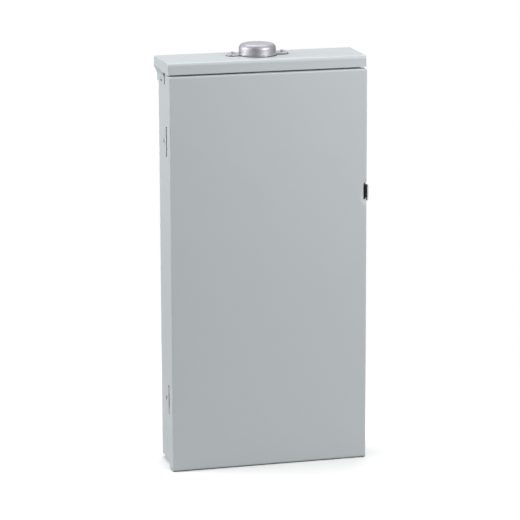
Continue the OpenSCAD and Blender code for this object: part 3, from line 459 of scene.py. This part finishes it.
def press_recess(bm, front, edge_x, mid_z, reach, half, depth):
    """Presses a dished finger recess into the face, open at its right edge."""
    cuts, past, slope, face_depth = 12, 1.05, 0.42, 4 * MM
    for step in range(cuts + 1):
        share = step / cuts
        cut(bm, (edge_x - past * reach * share, 0, 0), (1, 0, 0))
        for side in (-1, 1):
            cut(bm, (0, 0, mid_z + side * past * half * share), (0, 0, 1))
    for vert in bm.verts:
        if vert.co.y > front + face_depth or vert.co.x < edge_x - 2 * reach:
            continue
        across = (edge_x - vert.co.x) / reach
        up = (vert.co.z - mid_z) / half
        vert.co.y += depth * smooth_step((1.0 - math.hypot(max(0.0, across), up)) / slope)


def cut_notch(bm, pin, front, edge_x):
    """Takes the latch notch out of the face and the flange at their common edge."""
    half, lower = 15.5 * MM, 4.3 * MM
    face_x, flange_x, back_y = edge_x - 6.5 * MM, edge_x - 1.8 * MM, front + 8.3 * MM
    for x in (face_x, flange_x):
        cut(bm, (x, 0, 0), (1, 0, 0))
    for z in (pin.z - half - lower, pin.z - half, pin.z + half):
        cut(bm, (0, 0, z), (0, 0, 1))
    cut(bm, (0, back_y, 0), (0, 1, 0), faces_where(bm, lambda c: c.x > flange_x))
    drop_faces(bm, lambda c: c.y < back_y and (
        (c.x > face_x and abs(c.z - pin.z) < half) or (c.x > flange_x and pin.z - half - lower < c.z < pin.z)))


def door_skin():
    """Door pan: face, flanges, finger recess and latch notch."""
    low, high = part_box("door_panel")
    pin = Vector(JOINTS["latch_pull"]["pos_m"])
    top_flange, fold = 18 * MM, 3 * MM
    merge, sliver = 0.12 * MM, 0.05 * MM
    bm = bmesh.new()
    block(bm, low, high)
    drop_faces(bm, lambda c: near(c.y, high.y))
    upright = [edge for edge in bm.edges if near(edge.verts[0].co.x, edge.verts[1].co.x)
        and near(edge.verts[0].co.z, edge.verts[1].co.z)]
    round_edges(bm, edges_where(bm, lambda v: near(v.y, low.y)) + upright, fold, 5)
    cut(bm, (0, low.y + top_flange, 0), (0, 1, 0), faces_where(bm, lambda c: near(c.z, high.z)))
    drop_faces(bm, lambda c: near(c.z, high.z) and c.y > low.y + top_flange)
    press_recess(bm, low.y, high.x, mid_z=pin.z - 3 * MM, reach=14 * MM, half=28 * MM, depth=1.5 * MM)
    cut_notch(bm, pin, low.y, high.x)
    bmesh.ops.remove_doubles(bm, verts=bm.verts[:], dist=merge)
    bmesh.ops.dissolve_degenerate(bm, edges=bm.edges[:], dist=sliver)
    piece = make_piece("door_skin", bm, "door", "gray_enamel", ["door_panel"], 30.0, False)
    thicken(piece)
    soften(piece, 0.25 * MM)
    return piece


# --------------------------------------------------------------- the hood skin

def arc(centre, radius, start, end, steps):
    """Points on an arc, its two ends included."""
    return [Vector((centre.x + radius * math.cos(a), centre.y + radius * math.sin(a), centre.z))
        for a in (start + (end - start) * i / steps for i in range(steps + 1))]


def loop_face(bm, points):
    """A ring of new edges through points, for filling."""
    verts = [bm.verts.new(point) for point in points]
    return [bm.edges.new((verts[i - 1], verts[i])) for i in range(len(verts))]


def grow_ear(bm, rim, step_in, step_down, drop):
    """Runs the hood's side down from its rim: a step in to the box side, then straight down."""
    for shift in ((step_in, 0, -step_down), (0, 0, -drop)):
        grown = bmesh.ops.extrude_edge_only(bm, edges=rim)["geom"]
        bmesh.ops.translate(bm, vec=shift, verts=new_verts(grown))
        rim = [part for part in grown if isinstance(part, bmesh.types.BMEdge)
            and near(part.verts[0].co.z, part.verts[1].co.z)]


def hood_skin():
    """Rain hood: top with the hub opening, front lip, sides, and an ear down each side of the box."""
    low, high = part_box("rain_hood")
    hub_low, hub_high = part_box("hub_gasket")
    hub = Vector(((hub_low.x + hub_high.x) / 2, (hub_low.y + hub_high.y) / 2, high.z))
    box_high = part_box("box_wrapper")[1]
    opening_r, opening_sides = 30 * MM, 64
    front_fold, rear_fold, corner, step_fold = 6 * MM, 3 * MM, 0.9 * MM, 2.5 * MM
    step_down, drop = 13 * MM, 14 * MM
    lip = high.z - 21.5 * MM
    joggle = lip + 3 * MM
    ear_y = high.y - 58 * MM
    high.y -= 0.2 * MM  # the thickened rear corner spreads back by about this much
    step_in = high.x - box_high.x - SHEET
    bm = bmesh.new()
    block(bm, (low.x, low.y, lip), high)
    drop_faces(bm, lambda c: near(c.z, lip))
    round_edges(bm, edges_where(bm, lambda v: near(v.z, high.z) and near(v.y, low.y)), front_fold, 8)
    round_edges(bm, edges_where(bm, lambda v: near(v.z, high.z) and near(v.y, high.y)), rear_fold, 4)
    round_edges(bm, [edge for edge in bm.edges if len(edge.link_faces) == 2
        and any(near(abs(f.normal.x), 1.0, 1e-3) for f in edge.link_faces)], corner, 3)
    sides = faces_where(bm, lambda c: near(abs(c.x), high.x))
    cut(bm, (0, ear_y, 0), (0, 1, 0), sides)
    cut(bm, (0, 0, joggle), (0, 0, 1), faces_where(bm, lambda c: near(abs(c.x), high.x) and c.y > ear_y))
    drop_faces(bm, lambda c: near(abs(c.x), high.x) and c.y > ear_y and c.z < joggle)
    for side in (-1, 1):
        rim = edges_where(bm, lambda v: near(v.x, side * high.x) and near(v.z, joggle) and v.y > ear_y - TINY)
        grow_ear(bm, rim, -side * step_in, step_down, drop)
    top = [face for face in bm.faces if near(face.calc_center_median().z, high.z)]
    outline = {edge for face in top for edge in face.edges
        if len([f for f in edge.link_faces if f in top]) == 1}
    bmesh.ops.delete(bm, geom=top, context="FACES_ONLY")
    ring = loop_face(bm, arc(hub, opening_r, 0, math.tau, opening_sides)[:-1])
    bmesh.ops.triangle_fill(bm, edges=[*outline, *ring], use_beauty=True, normal=(0, 0, 1))
    bmesh.ops.recalc_face_normals(bm, faces=bm.faces[:])
    folds = [edge for edge in bm.edges if len(edge.link_faces) == 2
        and near(edge.verts[0].co.z, edge.verts[1].co.z)
        and any(near(edge.verts[0].co.z, level) for level in (joggle, joggle - step_down))
        and edge.verts[0].co.y > ear_y - TINY and edge.calc_face_angle(0) > 0.2]
    round_edges(bm, folds, step_fold, 4)
    piece = make_piece("hood_skin", bm, "box", "gray_enamel", ["rain_hood"], 30.0)
    thicken(piece)
    soften(piece, 0.25 * MM)
    return piece


# ------------------------------------------------------------ hub closing plate

def hub_cap():
    """Domed closing plate with a flange and an ear for a screw on each side."""
    low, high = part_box("hub_plate")
    plate = 2 * MM
    middle = Vector(((low.x + high.x) / 2, (low.y + high.y) / 2, low.z + plate))
    cap_r, round_r, ear_r, foot = 34.5 * MM, 9 * MM, 11.5 * MM, 1.2 * MM
    foot_mid = 0.35 * MM
    blend = 0.25
    turns, flat_r = 72, 12 * MM
    ear_x = (high.x - low.x) / 2 - ear_r
    skirt = (high.y - low.y) / 2
    neck = math.asin(9.5 * MM / skirt)
    bm = bmesh.new()
    outline = []
    for side, turn in ((1, 0.0), (-1, math.pi)):
        start, end = turn - math.pi / 2 + blend, turn + math.pi / 2 - blend
        outline += arc(middle + Vector((side * ear_x, 0, 0)), ear_r, start, end, 14)
        outline += arc(middle, skirt, turn + neck, turn + math.pi - neck, 24)
    rim = loop_face(bm, outline)
    inner = loop_face(bm, arc(middle, cap_r + foot, 0, math.tau, turns)[:-1])
    bmesh.ops.triangle_fill(bm, edges=[*rim, *inner], use_beauty=True, normal=(0, 0, 1))
    height = high.z - middle.z
    profile = [Vector((cap_r + foot, 0, 0)), Vector((cap_r + foot_mid, 0, foot_mid)), Vector((cap_r, 0, foot))]
    profile += [Vector((cap_r - round_r + round_r * math.cos(a), 0, height - round_r + round_r * math.sin(a)))
        for a in (math.pi / 2 * i / 8 for i in range(9))]
    profile += [Vector((flat_r, 0, height)), Vector((0, 0, height))]
    verts = [bm.verts.new(middle + point) for point in profile]
    edges = [bm.edges.new(pair) for pair in zip(verts, verts[1:])]
    bmesh.ops.spin(bm, geom=[*verts, *edges], cent=middle, axis=(0, 0, 1), angle=math.tau, steps=turns,
        use_merge=True)
    bmesh.ops.remove_doubles(bm, verts=bm.verts[:], dist=JOIN)
    bmesh.ops.recalc_face_normals(bm, faces=bm.faces[:])
    if sum(face.normal.z * face.calc_area() for face in bm.faces) < 0:
        bmesh.ops.reverse_faces(bm, faces=bm.faces[:])
    piece = make_piece("hub_cap", bm, "box", "cast_zinc", ["hub_plate"], 40.0, False)
    thicken(piece, plate)
    soften(piece, 0.4 * MM)
    return piece


# ---------------------------------------------------------------------- screws

def screw_head(bm, seat, out, radius, height, hexagon=True, washer=True):
    """A slotted screw head that stands on its seat, with its slot turned a little."""
    start = set(bm.verts)
    grip = radius * (0.78 if washer else 1.0)
    if washer:
        drum(bm, (0, 0, height * 0.11), radius, height * 0.22, segments=32)
    drum(bm, (0, 0, height * 0.55), grip, height * 0.9, segments=6 if hexagon else 32,
        top=grip * (0.98 if hexagon else 0.86))

    def lid():
        return [f for f in bm.faces if not start & set(f.verts) and near(f.calc_center_median().z, height, JOIN)]

    for side in (-1, 1):
        cut(bm, (0, side * radius * 0.11, 0), (0, 1, 0), lid())
    groove = [f for f in lid() if abs(f.calc_center_median().y) < radius * 0.1]
    sunk = bmesh.ops.extrude_face_region(bm, geom=groove)["geom"]
    bmesh.ops.delete(bm, geom=groove, context="FACES")
    bmesh.ops.translate(bm, vec=(0, 0, -height * 0.35), verts=new_verts(sunk))
    made = [vert for vert in bm.verts if vert not in start]
    turn = Vector((0, 0, 1)).rotation_difference(Vector(out)).to_matrix().to_4x4()
    spin = Matrix.Rotation(0.7 + 0.9 * seat[0] * 10, 4, "Z")
    bmesh.ops.transform(bm, matrix=Matrix.Translation(seat) @ turn @ spin, verts=made)


def screw_set(name, node_name, out, radius, height, shank_r, shank_l, **shape):
    """Detailed screws that stand where a CAD node's screws are."""
    finish = "zinc_plated_steel"
    out = Vector(out)
    bm = bmesh.new()
    for seat, along in screw_seats(node_name, out, height):
        screw_head(bm, seat, along, radius, height, **shape)
        axis = "XYZ"[max(range(3), key=lambda i: abs(along[i]))]
        drum(bm, Vector(seat) - along * shank_l / 2, shank_r, shank_l - 0.02 * MM, axis, 24)
    piece = make_piece(name, bm, body_of_node(node_name), finish, [node_name], 40.0)
    soften(piece, 0.15 * MM)
    return piece


def islands(node_name):
    """Lowest and highest corners of each separate solid of a CAD node."""
    bm = bmesh.new()
    bm.from_mesh(frame["nodes"][node_name].data)
    bmesh.ops.remove_doubles(bm, verts=bm.verts[:], dist=JOIN)
    left, found = set(bm.verts), []
    while left:
        queue, group = [left.pop()], []
        while queue:
            vert = queue.pop()
            group.append(vert.co.copy())
            for edge in vert.link_edges:
                other = edge.other_vert(vert)
                if other in left:
                    left.remove(other)
                    queue.append(other)
        found.append((Vector(map(min, *group)), Vector(map(max, *group))))
    bm.free()
    return sorted(found, key=lambda pair: tuple(round(c, 5) for c in pair[0]))


def screw_seats(node_name, out, height):
    """Where each screw's head bears, and the way it points. A sideways screw points away from the middle."""
    seats = []
    for low, high in islands(node_name):
        middle = (low + high) / 2
        along = Vector((math.copysign(1.0, middle.x), 0, 0)) if abs(out.x) > 0.5 else out
        axis = max(range(3), key=lambda i: abs(along[i]))
        face = (high if along[axis] > 0 else low)[axis]
        seat = middle.copy()
        seat[axis] = face - along[axis] * height
        seats.append((seat, along))
    return seats


def body_of_node(node_name):
    """The body that a CAD node belongs to."""
    return next(body for body, names in frame["record"]["behaviour"]["bodies"].items() if node_name in names)


# ----------------------------------------------------------------- latch lever

def upright_prism(bm, outline, low_z, high_z):
    """A solid with an outline in plan and straight upright sides."""
    floor_face = bm.faces.new([bm.verts.new((x, y, low_z)) for x, y in outline])
    grown = bmesh.ops.extrude_face_region(bm, geom=[floor_face], use_keep_orig=True)["geom"]
    bmesh.ops.translate(bm, vec=(0, 0, high_z - low_z), verts=new_verts(grown))


def latch_pull():
    """Latch lever: barrel, web across the notch, pull tab at the door's edge, and catch arm."""
    low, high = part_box("latch_lever")
    pin = Vector(JOINTS["latch_pull"]["pos_m"])
    web_front, web_back = low.y + 7.0 * MM, low.y + 8.8 * MM
    tab_x, tab_top = high.x - 2 * MM, pin.z + 12.2 * MM
    bm = bmesh.new()
    drum(bm, pin, 4 * MM, 27 * MM, "Z", 48)
    block(bm, (pin.x, web_front, pin.z - 13.5 * MM), (tab_x - 2 * MM, web_back, pin.z + 12 * MM))
    upright_prism(bm, [(tab_x - 4 * MM, web_front), (tab_x - 1.5 * MM, web_front), (tab_x, web_front - 1.5 * MM),
        (tab_x, low.y + 0.7 * MM), (tab_x + 0.7 * MM, low.y), (high.x, low.y), (high.x, web_back - 1.5 * MM),
        (high.x - 1.5 * MM, web_back), (tab_x - 4 * MM, web_back)], pin.z - 13.4 * MM, pin.z + 11.9 * MM)
    block(bm, (tab_x, low.y, low.z), (high.x, web_back, tab_top))
    arm = 10 * MM
    block(bm, (pin.x - 2.5 * MM, pin.y + 2 * MM, pin.z - arm), (pin.x + 0.5 * MM, high.y, pin.z + arm))
    piece = make_piece("latch_pull", bm, "latch", "latch_plastic", ["latch_lever"], 35.0)
    soften(piece, 0.4 * MM, 3)
    return piece


# ------------------------------------------------------- printing on the cover

def circuit_numbers():
    """Plain numbers beside the breaker windows, odd on the left and even on the right."""
    rows = 10
    ink, proud = 0.04 * MM, 1.2 * MM - 0.06 * MM
    pitch = 25.4 * MM
    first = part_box("breaker_1_case")[1].z + 0.2 * MM
    plate_low, plate_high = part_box("filler_plates")
    meshes = []
    for index in range(2 * rows):
        side = 1 if index % 2 else -1
        curve = bpy.data.curves.new("number", "FONT")
        curve.body = str(index + 1)
        curve.size = 9 * MM
        curve.extrude = ink
        curve.align_x = "CENTER"
        curve.align_y = "CENTER"
        text = bpy.data.objects.new("number", curve)
        text.rotation_euler = (math.pi / 2, 0, 0)
        text.location = (side * (plate_high.x + 9 * MM), plate_low.y + proud, first - (index // 2 + 0.5) * pitch)
        bpy.context.scene.collection.objects.link(text)
        bpy.context.view_layer.update()
        mesh = bpy.data.meshes.new_from_object(text)
        mesh.transform(text.matrix_world)
        meshes.append(mesh)
        bpy.data.objects.remove(text)
    bm = bmesh.new()
    for mesh in meshes:
        bm.from_mesh(mesh)
        bpy.data.meshes.remove(mesh)
    bmesh.ops.remove_doubles(bm, verts=bm.verts[:], dist=1e-7)
    return make_piece("circuit_numbers", bm, "box", "printing_ink", (), 35.0)


# ------------------------------------------------------------------ CAD pieces

def finish_cad_nodes():
    """Gives every CAD node its finish, and breaks the sharp edges of those whose finish is listed in soft_width,
    knockouts aside.
    """
    own = {row["node"]: row["material_slot"] for row in frame["record"]["subparts"]}
    soft_width = {"breaker_plastic": 0.5, "handle_plastic": 0.7, "insulator_plastic": 0.5,
        "bare_aluminium": 0.35, "plated_bus": 0.25, "galvanised_pan": 0.2, "gray_enamel": 0.2}
    flush = ("side_knockouts", "bottom_knockouts", "back_knockouts")
    for name, piece in frame["nodes"].items():
        slot = own[name]
        piece.data.materials.clear()
        piece.data.materials.append(FINISH[slot])
        if slot in soft_width and name not in flush:
            modifier(piece, "WELD", merge_threshold=TINY)
            modifier(piece, "DECIMATE", decimate_type="DISSOLVE", angle_limit=math.radians(0.5))
            soften(piece, soft_width[slot] * MM)


# ------------------------------------------------------------ studio and camera

WHITE = (1.0, 1.0, 1.0, 1.0)


def studio_world():
    """White studio that is darker behind the camera, seen as plain white."""
    world = bpy.data.worlds.new("studio")
    world.use_nodes = True
    tree = world.node_tree
    tree.nodes.clear()
    direction = node(tree, "ShaderNodeTexCoord").outputs["Generated"]
    split = node(tree, "ShaderNodeSeparateXYZ", Vector=direction)
    toward = remap(tree, split.outputs["Y"], -1.0, -0.55, 0.30, 1.0)
    above = remap(tree, split.outputs["Z"], -0.2, 1.0, 0.0, 0.35)
    level = math_node(tree, "ADD", toward, above)
    strength = math_node(tree, "MULTIPLY", level, 0.5)
    light = node(tree, "ShaderNodeBackground", Color=WHITE, Strength=strength)
    seen = node(tree, "ShaderNodeBackground", Color=WHITE, Strength=1.0)
    camera_ray = node(tree, "ShaderNodeLightPath").outputs["Is Camera Ray"]
    mix = node(tree, "ShaderNodeMixShader", in0=camera_ray, in1=light.outputs[0], in2=seen.outputs[0])
    node(tree, "ShaderNodeOutputWorld", in0=mix.outputs[0])
    bpy.context.scene.world = world


def softbox(name, place, aim, size, power):
    """A soft rectangular lamp that points at its aim."""
    lamp = bpy.data.lights.new(name, "AREA")
    lamp.shape = "RECTANGLE"
    lamp.size, lamp.size_y = size
    lamp.energy = power
    holder = bpy.data.objects.new(name, lamp)
    holder.location = place
    holder.rotation_mode = "QUATERNION"
    holder.rotation_quaternion = (Vector(aim) - Vector(place)).to_track_quat("-Z", "Y")
    bpy.context.scene.collection.objects.link(holder)


def floor():
    """Pale floor that blends to plain white away from the object, and gives less light than it shows."""
    low = cad_box[0]
    squares, reach, blend_from, blend_to = 30, 30.0, 0.42, 0.85
    bm = bmesh.new()
    bmesh.ops.create_grid(bm, x_segments=squares, y_segments=squares, size=reach, matrix=Matrix.Identity(4))
    mesh = bpy.data.meshes.new("floor")
    bm.to_mesh(mesh)
    bm.free()
    made, tree, shader = material("studio_floor", Roughness=0.9, Specular_IOR_Level=0.1)
    place = place_of(tree)
    straight = node(tree, "ShaderNodeLightPath").outputs["Is Camera Ray"]
    pale = colour_mix(tree, noise(tree, place, 3.0), (0.93, 0.93, 0.93), (0.95, 0.95, 0.95))
    tree.links.new(colour_mix(tree, straight, (0.34, 0.34, 0.33), pale), shader.inputs["Base Color"])
    away = node(tree, "ShaderNodeVectorMath", {"operation": "LENGTH"}, in0=place).outputs["Value"]
    glow = node(tree, "ShaderNodeEmission", Color=WHITE, Strength=remap(tree, straight, 0.0, 1.0, 0.2, 1.0))
    blend = node(tree, "ShaderNodeMixShader", in0=remap(tree, away, blend_from, blend_to, 0.0, 1.0))
    tree.links.new(shader.outputs[0], blend.inputs[1])
    tree.links.new(glow.outputs[0], blend.inputs[2])
    tree.links.new(blend.outputs[0], tree.nodes["Material Output"].inputs["Surface"])
    mesh.materials.append(made)
    piece = bpy.data.objects.new("floor", mesh)
    piece.location.z = low.z - 0.2 * MM
    bpy.context.scene.collection.objects.link(piece)


def camera():
    """Camera to the left of the front and a little above, with a long lens."""
    turn, drop, roll = math.radians(15.066), math.radians(12.513), math.radians(-0.187)
    distance, aim_height = 5.4, 0.390
    shift_right, shift_up = 0.01818, 0.0064
    aim = Vector((0.0, cad_box[0].y, cad_box[0].z + aim_height))
    forward = Vector((math.sin(turn) * math.cos(drop), math.cos(turn) * math.cos(drop), -math.sin(drop)))
    right = Vector((math.cos(turn), -math.sin(turn), 0.0))
    up = right.cross(forward)
    right, up = right * math.cos(roll) + up * math.sin(roll), up * math.cos(roll) - right * math.sin(roll)
    data = bpy.data.cameras.new("camera")
    data.sensor_width = 36.0
    data.lens = 200.69
    data.clip_start, data.clip_end = 0.1, 60.0
    made = bpy.data.objects.new("camera", data)
    eye = aim - forward * distance - right * shift_right + up * shift_up
    made.matrix_world = Matrix((
        (right.x, up.x, -forward.x, eye.x),
        (right.y, up.y, -forward.y, eye.y),
        (right.z, up.z, -forward.z, eye.z),
        (0, 0, 0, 1)))
    bpy.context.scene.collection.objects.link(made)
    bpy.context.scene.camera = made


door_skin()
hood_skin()
hub_cap()
latch_pull()
screw_set("hub_bolts", "hub_screws", out=(0, 0, 1),
    radius=5.5 * MM, height=4 * MM, shank_r=2.4 * MM, shank_l=12 * MM)
screw_set("ear_bolts", "ear_screws", out=(1, 0, 0),
    radius=4.5 * MM, height=2.2 * MM, shank_r=2.4 * MM, shank_l=10 * MM)
screw_set("cover_bolts", "dead_front_screws", out=(0, -1, 0),
    radius=2.7 * MM, height=2 * MM, shank_r=1.8 * MM, shank_l=8 * MM, hexagon=False, washer=False)
circuit_numbers()
finish_cad_nodes()
studio_world()
softbox("overhead", place=(0.1, 0.9, 2.1), aim=(0, 0, 0.3), size=(2.0, 1.4), power=22.0)
softbox("left", place=(-1.8, 0.2, 0.75), aim=(0, 0, 0.2), size=(1.1, 1.3), power=29.0)
softbox("right", place=(1.3, -1.9, 1.05), aim=(0.1, 0, 0.3), size=(1.0, 1.2), power=41.0)
floor()
camera()
bpy.context.scene.view_settings.view_transform = "Standard"
bpy.context.scene.view_settings.look = "None"
